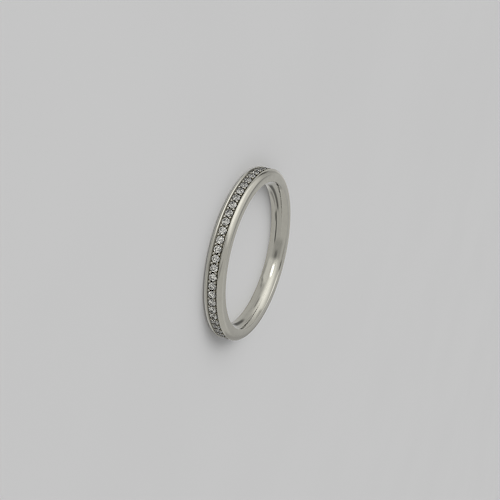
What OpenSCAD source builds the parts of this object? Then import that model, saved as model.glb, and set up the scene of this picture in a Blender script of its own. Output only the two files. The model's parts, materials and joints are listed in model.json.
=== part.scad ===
// Eternity ring: a slim polished band with one row of small round brilliants all the way around.
// The stones sit in conical seats in a channel, between two plain rails, under shared beads of metal.
// The ring lies on one side face: the finger hole's axis is Z, and the origin is under its middle.

/* [Finger hole] */
// Diameter of the finger hole at its narrowest
hole_d = 17.2; // [14:0.1:22]
// Length of the straight stretch in the middle of the hole
hole_straight = 0.7; // [0.4:0.05:1]
// How far the hole's wall curves back at each side face
hole_flare = 0.29; // [0.15:0.01:0.4]
// Radius on the edge where the hole meets each side face
hole_edge_r = 0.12; // [0.05:0.01:0.2]

/* [Band] */
// Width of the band along the finger
band_w = 2.2; // [2:0.05:3.2]
// Thickness of the band, from the finger hole to the top of its rails
band_t = 1.75; // [1.5:0.05:2.5]
// Radius of the rounded shoulder on each outer edge
shoulder_r = 0.74; // [0.3:0.02:0.9]

/* [Channel] */
// Gap between the stones and each wall of the channel
wall_gap = 0.095; // [0.06:0.005:0.15]
// Width of the bright bevel along each rim of the channel
rim_bevel = 0.11; // [0.05:0.01:0.14]
// Depth of the channel's floor below the edges of the stones
floor_drop = 0.06; // [0.03:0.01:0.15]

/* [Stones] */
// Diameter of each stone
stone_d = 0.95; // [0.8:0.01:1.1]
// Smallest gap between two neighbouring stones
stone_gap = 0.105; // [0.1:0.005:0.2]
// Depth of the stones' tables below the top of the rails
table_drop = 0.03; // [0:0.01:0.1]
// Width of the table, as a share of the stone's diameter
table_share = 0.56; // [0.5:0.01:0.64]
// Thickness of the stone's edge
edge_t = 0.03; // [0.02:0.005:0.05]
// Angle of the crown's main facets
crown_angle = 34.5; // [30:0.5:38]
// Angle of the pavilion's main facets
pavilion_angle = 40.8; // [39:0.2:43]

/* [Beads] */
// Distance from the middle of each bead to the channel's wall
bead_inset = 0.24; // [0.2:0.01:0.28]
// How far each bead's head reaches over the edges of the stones
bead_grip = 0.02; // [0.01:0.005:0.03]
// Height of each bead's domed head
bead_rise = 0.1; // [0.06:0.01:0.14]
// Clearance between a stone and the metal around it
fit_gap = 0.025; // [0.015:0.005:0.03]

/* [Hidden] */

// Flat sides that stand for a round shape on screen
hoop_sides = 180;
small_sides = 24;
// Overlap that lets a cut or a joined piece pass a surface cleanly
slip = 0.05;

hole_r = hole_d / 2;
rail_r = hole_r + band_t;
half_w = band_w / 2;
half_straight = hole_straight / 2;

// The stone's own heights, from the middle of its edge upwards and downwards
stone_r = stone_d / 2;
table_r = stone_r * table_share;
crown_h = (stone_r - table_r) * tan(crown_angle);
pavilion_h = stone_r * tan(pavilion_angle);
facets = 8;
// Where the star and lower facets end, as shares of the way in from the edge and of the radius
star_share = 0.5;
lower_share = 0.22;
// Turn of each stone about its own axis against the stone before it
stone_turn = 16.5;

// Radii at which the stones' edges and the channel's floor lie
edge_top_r = rail_r - table_drop - crown_h;
edge_low_r = edge_top_r - edge_t;
floor_r = edge_low_r - floor_drop;
half_channel = stone_r + wall_gap;
rim_z = half_channel + rim_bevel;

// The row: as many stones as fit around the channel
stone_count = floor(360 / (2 * asin((stone_d + stone_gap) / 2 / edge_low_r)));
stone_step = 360 / stone_count;

// The seat is a cone that keeps the clearance from the pavilion
seat_r = stone_r + fit_gap / sin(pavilion_angle);
seat_depth = pavilion_h + fit_gap / cos(pavilion_angle);
seat_end_r = 0.04;

// Each bead stands between two stones, as thick as the corner between them lets it be
bead_z = half_channel - bead_inset;
bead_reach = norm([edge_top_r * sin(stone_step / 2), bead_z]) - stone_r;
stem_r = bead_reach - fit_gap;
head_r = bead_reach + bead_grip;
head_at_r = edge_top_r + 2 * fit_gap;
dome_r = (head_r * head_r + bead_rise * bead_rise) / (2 * bead_rise);

// The shoulder's arc starts on the side face and ends at the bevel's outer edge, on the rail's top
shoulder_z = half_w - shoulder_r;
shoulder_rise = max(0, rim_z - shoulder_z);
shoulder_at_r = rail_r - sqrt(shoulder_r * shoulder_r - shoulder_rise * shoulder_rise);

// The hole's flare is an arc that starts at the straight stretch and ends in the edge's own arc
flare_w = half_w - half_straight;
flare_r = (flare_w * flare_w + hole_flare * hole_flare) / (2 * hole_flare);
flare_at_r = hole_r + flare_r;
edge_z = half_w - hole_edge_r;
edge_run = flare_r - hole_edge_r;
edge_at_r = flare_at_r - sqrt(edge_run * edge_run - (edge_z - half_straight) * (edge_z - half_straight));

// Outside of a circle, within the box that reaches from its middle outwards
module outside_arc(at, r, box) {
    difference() {
        translate(at) square(box);
        translate(at) circle(r, $fn = hoop_sides);
    }
}

module shoulder_cut() {
    outside_arc([shoulder_at_r, shoulder_z], shoulder_r, [shoulder_r + slip, shoulder_r + slip]);
}

module flare_cut() {
    difference() {
        translate([hole_r - slip, half_straight]) square([hole_flare + 2 * slip, flare_w + slip]);
        translate([flare_at_r, half_straight]) circle(flare_r, $fn = hoop_sides);
    }
}

// Rounds the tip between the flare and the side face
module edge_cut() {
    toward = [edge_at_r - flare_at_r, edge_z - half_straight] / edge_run;
    start = [edge_at_r, edge_z];
    past = start + toward * 2 * hole_edge_r;
    above = half_w + hole_edge_r;
    difference() {
        polygon([start, past, [past[0], above], [edge_at_r, above]]);
        translate(start) circle(hole_edge_r, $fn = hoop_sides);
    }
}

module channel_cut() {
    rim_r = rail_r - rim_bevel;
    top_r = rail_r + shoulder_r;
    top_z = half_channel + top_r - rim_r;
    polygon([
        [floor_r, -half_channel],
        [floor_r, half_channel],
        [rim_r, half_channel],
        [top_r, top_z],
        [top_r, -top_z],
        [rim_r, -half_channel]
    ]);
}

// One side of what is cut away from the band's section
module side_cuts() {
    shoulder_cut();
    flare_cut();
    edge_cut();
}

module band_section() {
    difference() {
        translate([hole_r, -half_w]) square([shoulder_at_r + shoulder_r - hole_r, band_w]);
        side_cuts();
        mirror([0, 1]) side_cuts();
        channel_cut();
    }
}

// Places what is drawn upright at a radius and an angle on the band, pointing outwards
module on_band(r, angle, z = 0) {
    rotate([0, 0, angle]) translate([r, 0, z]) rotate([0, 90, 0]) children();
}

module seat() {
    cylinder(h = seat_depth, r1 = seat_end_r, r2 = seat_r, $fn = small_sides);
}

module bead() {
    head_h = head_at_r - floor_r;
    rotate_extrude($fn = small_sides) {
        translate([0, -slip]) square([stem_r, head_h + 2 * slip]);
        intersection() {
            translate([0, head_h + bead_rise - dome_r]) circle(dome_r, $fn = small_sides * 4);
            translate([0, head_h]) square([head_r + slip, bead_rise + slip]);
        }
    }
}

module band() {
    color([0.74, 0.74, 0.71])
    translate([0, 0, half_w]) {
        difference() {
            rotate_extrude($fn = hoop_sides) band_section();
            for (i = [0 : stone_count - 1])
                on_band(edge_low_r - seat_depth, i * stone_step) seat();
        }
        for (i = [0 : stone_count - 1], side = [-1, 1])
            on_band(floor_r, (i + 0.5) * stone_step, side * bead_z) bead();
    }
}

// A ring of points at one radius and height, the first turned by a share of the step
function ring_points(count, r, h, offset = 0) =
    [for (k = [0 : count - 1]) let (a = (k + offset) * 360 / count) [r * cos(a), r * sin(a), h]];

// Round brilliant with its table up and the top of its edge at height zero
module brilliant() {
    n = facets;
    across = cos(180 / n);
    star_r = stone_r - (stone_r - table_r) * star_share;
    star_h = crown_h * (stone_r - star_r * across) / (stone_r - table_r);
    lower_r = stone_r * lower_share;
    lower_h = pavilion_h * (1 - lower_r * across / stone_r);
    points = concat(
        ring_points(n, table_r, crown_h),
        ring_points(n, star_r, star_h, 0.5),
        ring_points(2 * n, stone_r, 0),
        ring_points(2 * n, stone_r, -edge_t),
        ring_points(n, lower_r, -edge_t - lower_h, 0.5),
        [[0, 0, -edge_t - pavilion_h]]
    );
    star = n;
    top = 2 * n;
    low = 4 * n;
    main = 6 * n;
    culet = 7 * n;
    faces = concat(
        [[for (k = [n - 1 : -1 : 0]) k]],
        [for (k = [0 : n - 1]) [k, (k + 1) % n, star + k]],
        [for (k = [0 : n - 1]) [k, star + k, top + 2 * k, star + (k + n - 1) % n]],
        [for (k = [0 : n - 1]) [star + k, top + 2 * k + 1, top + 2 * k]],
        [for (k = [0 : n - 1]) [star + k, top + (2 * k + 2) % (2 * n), top + 2 * k + 1]],
        [for (k = [0 : 2 * n - 1]) let (m = (k + 1) % (2 * n)) [top + k, top + m, low + m, low + k]],
        [for (k = [0 : n - 1]) [main + k, low + 2 * k, low + 2 * k + 1]],
        [for (k = [0 : n - 1]) [main + k, low + 2 * k + 1, low + (2 * k + 2) % (2 * n)]],
        [for (k = [0 : n - 1]) [culet, main + (k + n - 1) % n, low + 2 * k, main + k]]
    );
    polyhedron(points, faces);
}

module stones() {
    color([0.9, 0.93, 0.96])
    translate([0, 0, half_w])
        for (i = [0 : stone_count - 1])
            on_band(edge_top_r, i * stone_step) rotate([0, 0, i * stone_turn]) brilliant();
}

band();
stones();
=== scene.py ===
"""Looks of the eternity ring: its finely turned band, the finish of its metal and stones, and the studio.

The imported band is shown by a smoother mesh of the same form, worked out here from the same main sizes. The
wall of its finger hole and its shoulders have finer curves, which stay within 0.06 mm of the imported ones.
Lengths are in metres, and the ring lies on one side face with the axis of its finger hole along Z.
"""

import json
import math
from collections import namedtuple

import bmesh
import bpy
from mathutils import Matrix, Vector

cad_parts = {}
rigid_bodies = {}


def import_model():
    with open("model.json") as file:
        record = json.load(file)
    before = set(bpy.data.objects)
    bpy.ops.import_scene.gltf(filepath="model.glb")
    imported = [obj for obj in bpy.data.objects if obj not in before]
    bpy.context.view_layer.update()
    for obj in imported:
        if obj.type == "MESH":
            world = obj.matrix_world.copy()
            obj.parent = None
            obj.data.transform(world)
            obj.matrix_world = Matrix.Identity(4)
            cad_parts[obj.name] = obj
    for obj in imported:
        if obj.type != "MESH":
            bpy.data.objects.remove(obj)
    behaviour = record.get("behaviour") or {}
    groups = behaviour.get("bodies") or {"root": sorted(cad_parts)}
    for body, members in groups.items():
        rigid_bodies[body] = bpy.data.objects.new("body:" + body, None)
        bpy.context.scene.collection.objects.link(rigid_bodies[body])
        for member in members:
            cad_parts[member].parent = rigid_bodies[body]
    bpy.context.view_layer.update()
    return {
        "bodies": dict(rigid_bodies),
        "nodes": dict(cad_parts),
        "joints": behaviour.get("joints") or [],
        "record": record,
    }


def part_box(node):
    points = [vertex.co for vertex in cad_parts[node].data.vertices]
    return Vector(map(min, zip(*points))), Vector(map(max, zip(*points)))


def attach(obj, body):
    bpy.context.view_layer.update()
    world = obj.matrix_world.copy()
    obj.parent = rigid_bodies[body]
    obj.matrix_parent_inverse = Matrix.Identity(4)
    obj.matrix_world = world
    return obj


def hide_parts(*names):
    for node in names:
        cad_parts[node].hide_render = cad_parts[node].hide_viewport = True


MM = 0.001

# The finger hole: the straight wall and flare that place the rounded edge, and the tilt at which the wall
# meets that edge, in degrees
HOLE_STRAIGHT = 0.7 * MM
HOLE_FLARE = 0.29 * MM
HOLE_EDGE_R = 0.06 * MM
HOLE_EDGE_TILT = 27
# The quick bend in the hole's wall: its height above the wall's middle, the heights whose tilts it joins,
# and the spacing and number of the extra points on each side of it
BEND_AT = 0.38 * MM
BEND_FROM = 0.294 * MM
BEND_TO = 0.449 * MM
BEND_STEP = 0.003 * MM
BEND_POINTS = 3

# The shoulder runs into the side face over a much larger arc, from this tilt in degrees
SHOULDER_R = 0.74 * MM
SIDE_ROLL_R = 2.2 * MM
SIDE_ROLL_TILT = 84

# The channel, with the small roundings of its rim and of the crest beside it
WALL_GAP = 0.095 * MM
RIM_BEVEL = 0.11 * MM
FLOOR_DROP = 0.06 * MM
CREST_R = 0.03 * MM
CORNER_R = 0.02 * MM

# The stones' sizes, which the seats and the beads follow
STONE_D = 0.95 * MM
STONE_COUNT = 60
TABLE_DROP = 0.03 * MM
TABLE_SHARE = 0.56
EDGE_T = 0.03 * MM
CROWN_ANGLE = math.radians(34.5)
PAVILION_ANGLE = math.radians(40.8)
FIT_GAP = 0.025 * MM
SEAT_END_R = 0.04 * MM
BEAD_INSET = 0.24 * MM
BEAD_GRIP = 0.02 * MM
BEAD_RISE = 0.1 * MM
# How deep each bead's stem starts below the channel's floor
SLIP = 0.05 * MM

# How finely the band's mesh is cut
HOOP_STEPS = 360
WALL_STEPS = 20
EDGE_STEPS = 6
ROLL_STEPS = 5
SHOULDER_STEPS = 18
CORNER_STEPS = 4
SEAT_STEPS = 32
BEAD_STEPS = 20
DOME_STEPS = 5
# Where each bead's dome ends in a small flat top, in degrees
DOME_END = 84
# Edges sharper than this stay crisp
SHARP_ANGLE = math.radians(38)

# What the values of a noise mostly keep within
NOISE_RANGE = (0.3, 0.7)

# White gold's darker and lighter tones, and the roughness of the lighter and of the darker one
GOLD_TONES = ((0.617, 0.601, 0.531, 1), (0.637, 0.621, 0.549, 1))
GOLD_ROUGHNESS = (0.07, 0.1)
TONE_SCALE = 1.3
# The polishing wheel's fine lines and broad waves
LINE_SCALE = 38
LINE_DEPTH = 0.0002 * MM
WAVE_SCALE = 0.7
WAVE_DEPTH = 0.004 * MM
# The channel's dull metal, darkened by painted shade, and where that fades, in millimetres: across its wall,
# above its rim and far below it
CHANNEL_DULL_AND_SHADE_COLOUR = (0.15, 0.14, 0.108, 1)
CHANNEL_ROUGHNESS = 0.45
WALL_FADE = (-0.04, 0.08)
RIM_FADE = 0.09
DEEP_FADE = (-1.1, -1)

# Diamond's cloudier and clearer tones, and the noise that makes some stones cloudier
DIAMOND_IOR = 2.417
STONE_TONES = ((0.79, 0.785, 0.725, 1), (0.91, 0.905, 0.835, 1))
CLOUD_SCALE = 0.9
CLOUD_RANGE = (0.35, 0.65)
# The painted shade on a stone's edge, with the distances from its middle in millimetres at which it starts
# and is full, and the share of that painted shade, as painted dark reflections, on the darkest facets
STONE_PAINTED_SHADE = (0.29, 0.28, 0.235, 1)
STONE_EDGE = (0.36, 0.46)
FACET_SCALE = 3.2
FACET_RANGE = (0.35, 0.65)
FACET_PAINTED_SHADE = 0.4

# Where the camera stands, seen from the middle of the ring, and its lens. It is rolled over so that the
# ring stands up in the picture, whose right is up in the scene.
VIEW_TILT = math.radians(69.61)
VIEW_TURN = math.radians(274)
VIEW_ROLL = math.radians(13.77)
VIEW_DISTANCE = 131.5 * MM
VIEW_LENS = 80.52
VIEW_SHIFT = (0.0003, 0.0078)
VIEW_NEAR = 0.01
VIEW_FAR = 20
# How much the picture's edges are sharpened, as a studio photo's are
SHARPENING = 0.13

# The paper that the ring lies on
FLOOR_SIZE = 4.0
PAPER_TONES = ((0.64, 0.64, 0.64, 1), (0.65, 0.65, 0.65, 1))
PAPER_SCALE = 30
PAPER_ROUGHNESS = 0.9
PAPER_SPECULAR = 0.1
# A broad light for the paper alone, from the picture's upper right, with turn and rise as for the patches
PAPER_LIGHT = 0.98
PAPER_LIGHT_TURN = -54
PAPER_LIGHT_RISE = 38
PAPER_LIGHT_WIDTH = 45

# What the stones see: a wave that repeats this often round the studio and up it, the part of the wave
# where dark turns to bright, and how dark and how bright it is
SPARKLE_TURNS = 7
SPARKLE_RISES = 9
SPARKLE_FADE = (-0.1, 0.15)
SPARKLE_GLOWS = (0.03, 1.43)

# The studio's tent: its glow up to a low rise, and its glow from a higher one on
UNDER_GLOW = 0.525
UNDER_RISE = math.radians(-60)
TENT_GLOW = 0.54
TENT_RISE = math.radians(-25)

# Patches on the tent, all angles in degrees. Turn is measured about Z from the camera's side, with
# negative turns towards the picture's top. Rise is the height above the floor, towards the picture's
# right. Wide and tall are half sizes, each with the reach of its soft edge. A later patch lies over the
# ones before it.
Patch = namedtuple("Patch", "turn rise wide tall soft_wide soft_tall glow")
PATCHES = (
    # A slightly darker band all round, and a darker patch far below at the back
    Patch(0, -20, 200, 12, 10, 7, 0.49),
    Patch(180, -70, 75, 18, 15, 8, 0.42),
    # Lights: three high ones that overlap, a broad one at the ring's height, a small bright one, a low one
    Patch(-92, 58, 74, 27, 16, 9, 0.77),
    Patch(-72, 57, 42, 26.5, 20, 5, 0.97),
    Patch(-64, 47.5, 30, 17, 18, 5, 1.26),
    Patch(-49, 1.6, 43, 17.2, 38, 11, 1.24),
    Patch(-17, -10, 9, 4.5, 4, 3, 2.6),
    Patch(-20, -36, 22, 17, 5, 4, 0.74),
    # Low dark patches on the side of the picture's top
    Patch(-54, -42, 3.5, 9, 3, 5, 0.34),
    Patch(-46, -53, 4, 6, 3.5, 4, 0.32),
    Patch(-30, -62, 16, 3, 8, 3, 0.38),
    Patch(-79, -19.5, 11, 2.2, 6, 2, 0.31),
    Patch(-118, -10, 12, 2.5, 7, 2, 0.3),
    Patch(-178, -25, 7, 6, 5, 4, 0.36),
    Patch(-149, -20.8, 19, 3.3, 8, 2.5, 0.14),
    # Dark patches on the side of the picture's bottom, mostly low, and a paler one at the back
    Patch(18, -4, 16, 24, 6, 8, 0.385),
    Patch(9, -13, 6, 6, 4, 4, 0.2),
    Patch(60, -30, 30, 2.8, 6, 2, 0.1),
    Patch(166, -9, 15, 9, 7, 5, 0.46),
    Patch(125, -21, 36, 3, 8, 2, 0.16),
    Patch(124, -32.5, 22, 3.5, 8, 3, 0.3),
    Patch(82, -37, 9, 5, 4, 3, 0.22),
    Patch(165, -31, 8, 3, 5, 3, 0.64),
    # High dark patches in front
    Patch(39, 54, 9, 20, 6, 7, 0.37),
    Patch(15, 36, 12, 6, 6, 4, 0.38),
    Patch(-7, 36.5, 8, 6, 5, 3, 0.13),
    # Paler and darker patches at the back, at the ring's height and above it
    Patch(169, 34, 12, 9, 8, 5, 0.585),
    Patch(156, 9, 21, 13, 5, 6, 0.375),
    Patch(-170, 0.5, 10.5, 8, 4, 4, 0.67),
    Patch(-151, 28, 14, 5, 6, 5, 0.47),
    Patch(-150, 18, 14, 7, 8, 5, 0.4),
    Patch(-132, 18.5, 11, 5, 6, 3.5, 0.14),
    Patch(-102, 15.5, 14, 5, 5, 3, 0.5),
    Patch(-174, 27, 6, 5, 2.5, 3, 0.33),
)


def around_z(radius, angle, z):
    """The point at a distance from Z, an angle round it and a height."""
    return Vector((radius * math.cos(angle), radius * math.sin(angle), z))


def arc(centre, radius, start, end, steps):
    """Points along an arc of the section, from one angle in degrees to another."""
    points = []
    for k in range(steps + 1):
        angle = math.radians(start + (end - start) * k / steps)
        points.append(Vector((centre[0] + radius * math.cos(angle), centre[1] + radius * math.sin(angle))))
    return points


def rounded(before, corner, after, radius):
    """Points that round the corner between two straight stretches."""
    to_before = (before - corner).normalized()
    to_after = (after - corner).normalized()
    half = to_before.angle(to_after) / 2
    reach = radius / math.tan(half)
    first = corner + to_before * reach
    last = corner + to_after * reach
    middle = corner + (to_before + to_after).normalized() * (radius / math.sin(half))
    start = first - middle
    turn = start.angle_signed(last - middle)
    points = []
    for k in range(CORNER_STEPS + 1):
        points.append(middle + Matrix.Rotation(-turn * k / CORNER_STEPS, 2) @ start)
    return points


class Sizes:
    """The band's sizes, worked out from the frame and the values above."""

    def __init__(self, frame):
        low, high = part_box("band")
        hole = next(m for m in frame["record"]["mounts"] if m["name"] == "finger_hole")
        self.half_w = (high.z - low.z) / 2
        self.rail_r = high.x
        self.hole_r = hole["dims"]["r_mm"] * MM
        stone_r = STONE_D / 2
        crown_h = stone_r * (1 - TABLE_SHARE) * math.tan(CROWN_ANGLE)
        self.edge_top_r = self.rail_r - TABLE_DROP - crown_h
        self.edge_low_r = self.edge_top_r - EDGE_T
        self.floor_r = self.edge_low_r - FLOOR_DROP
        self.half_channel = stone_r + WALL_GAP
        self.step = math.tau / STONE_COUNT
        self.seat_r = stone_r + FIT_GAP / math.sin(PAVILION_ANGLE)
        self.seat_depth = stone_r * math.tan(PAVILION_ANGLE) + FIT_GAP / math.cos(PAVILION_ANGLE)
        self.bead_z = self.half_channel - BEAD_INSET
        reach = math.hypot(self.edge_top_r * math.sin(self.step / 2), self.bead_z) - stone_r
        self.stem_r = reach - FIT_GAP
        self.head_r = reach + BEAD_GRIP
        self.head_at_r = self.edge_top_r + 2 * FIT_GAP


def half_section(s):
    """The band's section from the middle of the channel's floor to the middle of the hole's wall."""
    floor = Vector((s.floor_r, 0))
    foot = Vector((s.floor_r, s.half_channel))
    rim = Vector((s.rail_r - RIM_BEVEL, s.half_channel))
    crest = Vector((s.rail_r, s.half_channel + RIM_BEVEL))
    outer = outer_side(s, s.half_channel + RIM_BEVEL)
    edge_at = (hole_edge_at(s), s.half_w - HOLE_EDGE_R)
    edge = arc(edge_at, HOLE_EDGE_R, 90, 180 - HOLE_EDGE_TILT, EDGE_STEPS)
    return [
        floor,
        foot,
        *rounded(foot, rim, crest, CORNER_R),
        *rounded(rim, crest, outer[1], CREST_R),
        *outer[1:],
        *edge,
        *hole_wall(s.hole_r, edge[-1]),
    ]


def outer_side(s, crest_z):
    """The section's shoulder, from its crest on, and the last roll into the side face."""
    roll_z = s.half_w - SIDE_ROLL_R
    roll_tilt = math.radians(SIDE_ROLL_TILT)
    shoulder_z = roll_z + (SIDE_ROLL_R - SHOULDER_R) * math.sin(roll_tilt)
    crest_tilt = math.asin((crest_z - shoulder_z) / SHOULDER_R)
    shoulder_at_r = s.rail_r - SHOULDER_R * math.cos(crest_tilt)
    roll_at_r = shoulder_at_r - (SIDE_ROLL_R - SHOULDER_R) * math.cos(roll_tilt)

    crest = math.degrees(crest_tilt)
    shoulder = arc((shoulder_at_r, shoulder_z), SHOULDER_R, crest, SIDE_ROLL_TILT, SHOULDER_STEPS)
    roll = arc((roll_at_r, roll_z), SIDE_ROLL_R, SIDE_ROLL_TILT, 90, ROLL_STEPS)
    return shoulder + roll[1:]


def hole_edge_at(s):
    """How far out the middle of the hole's rounded edge is: where a straight wall and its flare put it."""
    half_straight = HOLE_STRAIGHT / 2
    flare_w = s.half_w - half_straight
    flare_r = (flare_w**2 + HOLE_FLARE**2) / (2 * HOLE_FLARE)
    edge_run = flare_r - HOLE_EDGE_R
    edge_rise = flare_w - HOLE_EDGE_R
    return s.hole_r + flare_r - math.sqrt(edge_run**2 - edge_rise**2)


def hole_wall(hole_r, end):
    """The hole's wall from its edge to its middle: a gentle curve with one small quick bend.

    The bend leaves out the tilts that would mirror the row of stones on the near side as a long dark line.
    """
    rises = [end.y * k / WALL_STEPS for k in range(WALL_STEPS + 1)]
    rises += [BEND_AT + side * BEND_STEP * k for side in (-1, 1) for k in range(1, BEND_POINTS + 1)]
    rises.sort()
    end_slope = math.tan(math.radians(HOLE_EDGE_TILT))
    power = end_slope * end.y / (end.x - hole_r)
    points = [Vector((0, 0))]
    for low, high in zip(rises, rises[1:]):
        share = unbent((low + high) / 2, end.y) / end.y
        slope = end_slope * share ** (power - 1)
        points.append(Vector((points[-1].x + slope * (high - low), high)))
    scale = (end.x - hole_r) / points[-1].x
    return [Vector((hole_r + p.x * scale, p.y)) for p in points[-2::-1]]


def unbent(rise, end):
    """The height at which the wall would have a tilt if it had no bend."""
    if rise < BEND_AT:
        return rise * BEND_FROM / BEND_AT
    return end - (end - rise) * (end - BEND_TO) / (end - BEND_AT)


def finished_mesh(name, mesh):
    """Makes a named mesh of what was built, and frees what it was built in."""
    data = bpy.data.meshes.new(name)
    mesh.to_mesh(data)
    mesh.free()
    return data


def turned(name, section, steps):
    """A closed mesh made by turning a section of (distance from the axis, height) about Z."""
    mesh = bmesh.new()
    rings = []
    for k in range(steps):
        angle = math.tau * k / steps
        rings.append([mesh.verts.new(around_z(p[0], angle, p[1])) for p in section])
    count = len(section)
    for k in range(steps):
        ring = rings[k]
        following = rings[(k + 1) % steps]
        for j in range(count):
            n = (j + 1) % count
            mesh.faces.new((ring[j], following[j], following[n], ring[n]))
    bmesh.ops.recalc_face_normals(mesh, faces=mesh.faces)
    return finished_mesh(name, mesh)


def lathe(mesh, section, steps, place):
    """Adds a closed solid to a mesh: a section of (radius, height) turned about its axis, then placed."""
    bottom = mesh.verts.new(place @ Vector((0, 0, section[0][1])))
    top = mesh.verts.new(place @ Vector((0, 0, section[-1][1])))
    rings = []
    for radius, height in section:
        spots = [around_z(radius, math.tau * k / steps, height) for k in range(steps)]
        rings.append([mesh.verts.new(place @ spot) for spot in spots])
    for k in range(steps):
        n = (k + 1) % steps
        mesh.faces.new((bottom, rings[0][n], rings[0][k]))
        for low, high in zip(rings, rings[1:]):
            mesh.faces.new((low[k], low[n], high[n], high[k]))
        mesh.faces.new((top, rings[-1][k], rings[-1][n]))


def on_band(radius, angle, z):
    """Places what is drawn upright at a radius, an angle and a height on the band, pointing outwards."""
    turn = Matrix.Rotation(angle, 4, "Z") @ Matrix.Rotation(math.pi / 2, 4, "Y")
    return Matrix.Translation(around_z(radius, angle, z)) @ turn


def seats_mesh(s):
    """The cones that are cut out of the channel, one for each stone."""
    mesh = bmesh.new()
    section = [(SEAT_END_R, 0), (s.seat_r, s.seat_depth)]
    for k in range(STONE_COUNT):
        lathe(mesh, section, SEAT_STEPS, on_band(s.edge_low_r - s.seat_depth, k * s.step, s.half_w))
    return finished_mesh("seats", mesh)


def bead_section(s):
    """A stem that starts inside the floor and carries a domed head."""
    head = s.head_at_r - s.floor_r
    dome_r = (s.head_r**2 + BEAD_RISE**2) / (2 * BEAD_RISE)
    dome_z = head + BEAD_RISE - dome_r
    rim = math.degrees(math.asin((head - dome_z) / dome_r))
    dome = arc((0, dome_z), dome_r, rim, DOME_END, DOME_STEPS)
    return [(s.stem_r, -SLIP), (s.stem_r, head), *[tuple(p) for p in dome]]


def beads_mesh(s):
    """The beads: two in each gap between stones, one on either side of the row."""
    mesh = bmesh.new()
    section = bead_section(s)
    for k in range(STONE_COUNT):
        for side in (-1, 1):
            place = on_band(s.floor_r, (k + 0.5) * s.step, s.half_w + side * s.bead_z)
            lathe(mesh, section, BEAD_STEPS, place)
    return finished_mesh("beads", mesh)


def shown(name, data):
    """Puts a new object with this data in the scene."""
    piece = bpy.data.objects.new(name, data)
    bpy.context.scene.collection.objects.link(piece)
    return piece


def combined(piece, other, operation):
    """Applies one boolean to a piece with a helper mesh, and drops the helper."""
    helper = shown("helper", other)
    cut = piece.modifiers.new("combine", "BOOLEAN")
    cut.operation = operation
    cut.solver = "MANIFOLD"
    cut.object = helper
    graph = bpy.context.evaluated_depsgraph_get()
    result = bpy.data.meshes.new_from_object(piece.evaluated_get(graph))
    piece.modifiers.clear()
    piece.data = result
    bpy.data.objects.remove(helper)
    bpy.data.meshes.remove(other)


def build_band(s):
    """The whole band in one closed mesh: the turned hoop, less the seats, with the beads on."""
    upper = half_section(s)
    section = [Vector((p.x, s.half_w + p.y)) for p in upper]
    lower = [Vector((p.x, s.half_w - p.y)) for p in upper[1:-1]]
    band = shown("polished_band", turned("polished_band", section + lower[::-1], HOOP_STEPS))
    combined(band, seats_mesh(s), "DIFFERENCE")
    combined(band, beads_mesh(s), "UNION")
    band.data.shade_smooth()
    band.data.set_sharp_from_angle(angle=SHARP_ANGLE)
    # The metal mirrors the tent and the stones, and not its own darker side
    band.visible_glossy = False
    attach(band, "root")
    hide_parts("band")
    return band


class Nodes:
    """Adds nodes to a tree and joins them, with numbers or other nodes' outputs as inputs."""

    def __init__(self, tree):
        self.tree = tree

    def add(self, kind, output, values, **settings):
        node = self.tree.nodes.new(kind)
        for name, value in settings.items():
            setattr(node, name, value)
        for key, value in values.items():
            if isinstance(value, bpy.types.NodeSocket):
                self.tree.links.new(value, node.inputs[key])
            else:
                node.inputs[key].default_value = value
        return node.outputs[output]

    def math(self, operation, first, second=0.0):
        return self.add("ShaderNodeMath", 0, {0: first, 1: second}, operation=operation)

    def fade(self, value, near, far, to_near=1.0, to_far=0.0):
        """Goes smoothly from one number at near to another at far."""
        values = {"Value": value, "From Min": near, "From Max": far, "To Min": to_near, "To Max": to_far}
        return self.add("ShaderNodeMapRange", 0, values, interpolation_type="SMOOTHSTEP")

    def mix(self, share, first, second):
        return self.add("ShaderNodeMix", 0, {0: share, 2: first, 3: second})

    def blend(self, share, first, second):
        """Mixes two colours."""
        return self.add("ShaderNodeMix", 2, {0: share, 6: first, 7: second}, data_type="RGBA")

    def noise(self, place, scale, detail):
        return self.add("ShaderNodeTexNoise", 0, {"Vector": place, "Scale": scale, "Detail": detail})

    def join(self, output, socket):
        self.tree.links.new(output, socket)


def new_material(name):
    """A new material, with what adds its nodes and its shader."""
    material = bpy.data.materials.new(name)
    material.use_nodes = True
    return Nodes(material.node_tree), material.node_tree.nodes["Principled BSDF"], material


def spot_in_mm(nodes):
    """Where a point of the ring is, in millimetres: its place, distance from the axis and height."""
    place = nodes.add("ShaderNodeTexCoord", "Object", {})
    place = nodes.add("ShaderNodeVectorMath", 0, {0: place, 1: (1000, 1000, 1000)}, operation="MULTIPLY")
    flat = nodes.add("ShaderNodeVectorMath", 0, {0: place, 1: (1, 1, 0)}, operation="MULTIPLY")
    out = nodes.add("ShaderNodeVectorMath", "Value", {0: flat}, operation="LENGTH")
    height = nodes.add("ShaderNodeSeparateXYZ", "Z", {"Vector": place})
    return place, out, height


def channel_dull_and_shade_mask(nodes, out, height, s):
    """1 in the channel under the stones, where no polishing wheel reaches and painted shade darkens the
    metal, and 0 on all open surfaces.
    """
    aside = nodes.math("ABSOLUTE", nodes.math("SUBTRACT", height, s.half_w / MM))
    wall = s.half_channel / MM
    rim = (s.rail_r - RIM_BEVEL) / MM
    between = nodes.fade(aside, wall + WALL_FADE[0], wall + WALL_FADE[1])
    below = nodes.fade(out, rim, rim + RIM_FADE)
    outside = nodes.fade(out, rim + DEEP_FADE[0], rim + DEEP_FADE[1], 0, 1)
    return nodes.math("MULTIPLY", nodes.math("MULTIPLY", between, below), outside)


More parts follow.
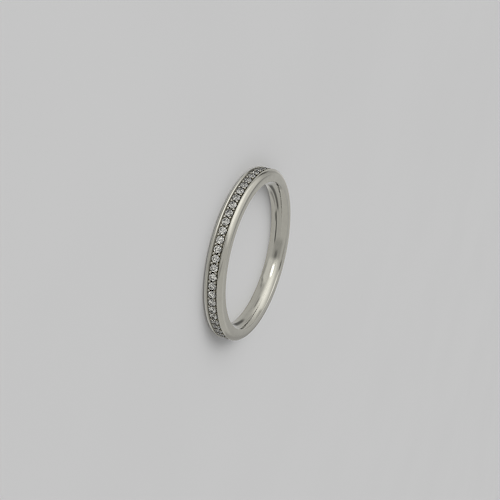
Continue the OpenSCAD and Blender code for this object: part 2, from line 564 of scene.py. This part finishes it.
def white_gold(s):
    """Polished white gold, with the polishing wheel's faint lines and waves, and a dull channel darkened by
    painted shade.
    """
    nodes, shader, material = new_material("white_gold_polish")
    place, out, height = spot_in_mm(nodes)
    dull_and_shade = channel_dull_and_shade_mask(nodes, out, height, s)
    uneven = nodes.noise(place, TONE_SCALE, 2)
    across = nodes.add("ShaderNodeCombineXYZ", 0, {"X": out, "Y": height, "Z": 0})
    lines = nodes.math("MULTIPLY", nodes.noise(across, LINE_SCALE, 3), uneven)
    wave = nodes.noise(place, WAVE_SCALE, 1)

    open_colour = nodes.blend(nodes.fade(uneven, *NOISE_RANGE), *GOLD_TONES)
    # The channel gets duller metal and painted shade, darker than the open surfaces
    colour = nodes.blend(dull_and_shade, open_colour, CHANNEL_DULL_AND_SHADE_COLOUR)
    nodes.join(colour, shader.inputs["Base Color"])
    polish = nodes.fade(uneven, *NOISE_RANGE, *GOLD_ROUGHNESS)
    nodes.join(nodes.mix(dull_and_shade, polish, CHANNEL_ROUGHNESS), shader.inputs["Roughness"])
    shader.inputs["Metallic"].default_value = 1
    waves = nodes.add("ShaderNodeBump", 0, {"Height": wave, "Distance": WAVE_DEPTH})
    bump = nodes.add("ShaderNodeBump", 0, {"Height": lines, "Distance": LINE_DEPTH, "Normal": waves})
    nodes.join(bump, shader.inputs["Normal"])
    return material


def painted_stone_shade(nodes, place, out, height, s):
    """How much painted shade a stone's facet gets: more towards the edge, and painted dark reflections on
    some facets.
    """
    parts = nodes.add("ShaderNodeSeparateXYZ", 0, {"Vector": place}).node.outputs
    turns = nodes.math("DIVIDE", nodes.math("ARCTAN2", parts["Y"], parts["X"]), s.step)
    along = nodes.math("MULTIPLY", nodes.math("SUBTRACT", turns, nodes.math("ROUND", turns)), s.step)
    along = nodes.math("MULTIPLY", along, out)
    across = nodes.math("SUBTRACT", height, s.half_w / MM)
    spot = nodes.add("ShaderNodeCombineXYZ", 0, {"X": along, "Y": across, "Z": 0})
    from_middle = nodes.add("ShaderNodeVectorMath", "Value", {0: spot}, operation="LENGTH")
    edge = nodes.fade(from_middle, *STONE_EDGE, 0, 1)
    cells = nodes.add("ShaderNodeTexVoronoi", "Color", {"Vector": place, "Scale": FACET_SCALE})
    facet = nodes.add("ShaderNodeSeparateXYZ", 0, {"Vector": cells})
    # Painted shade at the edge, and painted dark reflections on some facets
    return nodes.math("MAXIMUM", edge, nodes.fade(facet, *FACET_RANGE, FACET_PAINTED_SHADE))


def diamond(s):
    """Clear stone, with painted shade towards its edge and painted dark reflections on some facets. Some
    stones are cloudier.
    """
    nodes, shader, material = new_material("diamond_cut")
    place, out, height = spot_in_mm(nodes)
    cloud = nodes.noise(place, CLOUD_SCALE, 2)
    bright = nodes.blend(nodes.fade(cloud, *CLOUD_RANGE), *STONE_TONES)
    # Painted shade towards each stone's edge and painted dark reflections on some facets
    colour = nodes.blend(painted_stone_shade(nodes, place, out, height, s), bright, STONE_PAINTED_SHADE)
    nodes.join(colour, shader.inputs["Base Color"])
    shader.inputs["Transmission Weight"].default_value = 1
    shader.inputs["IOR"].default_value = DIAMOND_IOR
    shader.inputs["Roughness"].default_value = 0.0
    return material


def floor_grey():
    """Plain pale paper, with a tone that varies hardly at all."""
    nodes, shader, material = new_material("floor_grey")
    tone = nodes.noise(nodes.add("ShaderNodeTexCoord", "Object", {}), PAPER_SCALE, 2)
    shade = nodes.blend(nodes.fade(tone, *NOISE_RANGE), *PAPER_TONES)
    nodes.join(shade, shader.inputs["Base Color"])
    shader.inputs["Roughness"].default_value = PAPER_ROUGHNESS
    shader.inputs["Specular IOR Level"].default_value = PAPER_SPECULAR
    return material


def dress(piece, material):
    """Gives a piece one material in place of any that it has."""
    piece.data.materials.clear()
    piece.data.materials.append(material)


def add_floor():
    mesh = bmesh.new()
    bmesh.ops.create_grid(mesh, x_segments=1, y_segments=1, size=FLOOR_SIZE / 2)
    floor = shown("floor", finished_mesh("floor", mesh))
    dress(floor, floor_grey())
    # The metal mirrors the tent under the ring and not the paper
    floor.visible_glossy = False


def add_paper_light():
    """A soft light on the paper, which gives the ring its shadow and isn't mirrored in it."""
    data = bpy.data.lights.new("paper_light", "SUN")
    data.energy = PAPER_LIGHT
    data.angle = math.radians(PAPER_LIGHT_WIDTH)
    light = shown("paper_light", data)
    light.visible_glossy = False
    light.visible_transmission = False
    turn = VIEW_TURN + math.radians(PAPER_LIGHT_TURN)
    rise = math.radians(PAPER_LIGHT_RISE)
    toward = around_z(math.cos(rise), turn, math.sin(rise))
    light.rotation_euler = toward.to_track_quat("Z", "Y").to_euler()


def view_axes():
    """The camera's right, up and back directions in the ring's frame."""
    back = around_z(math.sin(VIEW_TILT), VIEW_TURN, math.cos(VIEW_TILT))
    level = (Vector((0, 0, 1)) - math.cos(VIEW_TILT) * back) / math.sin(VIEW_TILT)
    other = back.cross(level)
    right = math.cos(VIEW_ROLL) * level + math.sin(VIEW_ROLL) * other
    up = math.cos(VIEW_ROLL) * other - math.sin(VIEW_ROLL) * level
    return right, up, back


def add_camera(middle):
    data = bpy.data.cameras.new("camera")
    data.lens = VIEW_LENS
    data.shift_x, data.shift_y = VIEW_SHIFT
    data.clip_start = VIEW_NEAR
    data.clip_end = VIEW_FAR
    camera = shown("camera", data)
    right, up, back = view_axes()
    turn = Matrix((right, up, back)).transposed().to_4x4()
    camera.matrix_world = Matrix.Translation(middle + VIEW_DISTANCE * back) @ turn
    bpy.context.scene.camera = camera


def within(nodes, off, half, soft):
    """1 where a patch's middle is nearer than its half size, falling softly to 0 beyond that."""
    return nodes.fade(off, math.radians(half - soft), math.radians(half + soft))


def patch_mask(nodes, turn, rise, patch):
    """1 within a patch of the studio, falling softly to 0 round it."""
    off_turn = nodes.math("PINGPONG", nodes.math("SUBTRACT", turn, math.radians(patch.turn)), math.pi)
    off_rise = nodes.math("ABSOLUTE", nodes.math("SUBTRACT", rise, math.radians(patch.rise)))
    across = within(nodes, off_turn, patch.wide, patch.soft_wide)
    up = within(nodes, off_rise, patch.tall, patch.soft_tall)
    return nodes.math("MULTIPLY", across, up)


def sparkle(nodes, turn, rise):
    """What the stones see of the studio: small bright lights with dark between them."""
    across = nodes.math("SINE", nodes.math("MULTIPLY", turn, SPARKLE_TURNS))
    up = nodes.math("SINE", nodes.math("MULTIPLY", rise, SPARKLE_RISES))
    return nodes.fade(nodes.math("MULTIPLY", across, up), *SPARKLE_FADE, *SPARKLE_GLOWS)


def add_world():
    """A pale tent with soft lights and darker patches, which the polished metal mirrors."""
    world = bpy.data.worlds.new("studio")
    bpy.context.scene.world = world
    world.use_nodes = True
    nodes = Nodes(world.node_tree)
    toward = nodes.add("ShaderNodeTexCoord", "Generated", {})
    turned_by = {"Vector": toward, "Angle": -VIEW_TURN}
    seen = nodes.add("ShaderNodeVectorRotate", 0, turned_by, rotation_type="Z_AXIS")
    parts = nodes.add("ShaderNodeSeparateXYZ", 0, {"Vector": seen}).node.outputs
    turn = nodes.math("ARCTAN2", parts["Y"], parts["X"])
    rise = nodes.math("ARCSINE", parts["Z"])
    glow = nodes.fade(rise, UNDER_RISE, TENT_RISE, UNDER_GLOW, TENT_GLOW)
    for patch in PATCHES:
        glow = nodes.mix(patch_mask(nodes, turn, rise, patch), glow, patch.glow)
    through_stone = nodes.add("ShaderNodeLightPath", "Is Transmission Ray", {})
    glow = nodes.mix(through_stone, glow, sparkle(nodes, turn, rise))
    background = world.node_tree.nodes["Background"]
    nodes.join(glow, background.inputs["Strength"])
    background.inputs["Color"].default_value = (1, 1, 1, 1)


def add_sharpening():
    scene = bpy.context.scene
    scene.use_nodes = True
    tree = scene.node_tree
    tree.nodes.clear()
    rendered = tree.nodes.new("CompositorNodeRLayers")
    sharpen = tree.nodes.new("CompositorNodeFilter")
    sharpen.filter_type = "SHARPEN_DIAMOND"
    sharpen.inputs["Fac"].default_value = SHARPENING
    shown_last = tree.nodes.new("CompositorNodeComposite")
    tree.links.new(rendered.outputs["Image"], sharpen.inputs["Image"])
    tree.links.new(sharpen.outputs["Image"], shown_last.inputs["Image"])


def main():
    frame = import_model()
    sizes = Sizes(frame)
    dress(build_band(sizes), white_gold(sizes))
    dress(frame["nodes"]["stones"], diamond(sizes))
    add_floor()
    add_paper_light()
    add_camera(Vector((0, 0, sizes.half_w)))
    add_world()
    add_sharpening()
    bpy.context.scene.view_settings.view_transform = "Standard"


main()
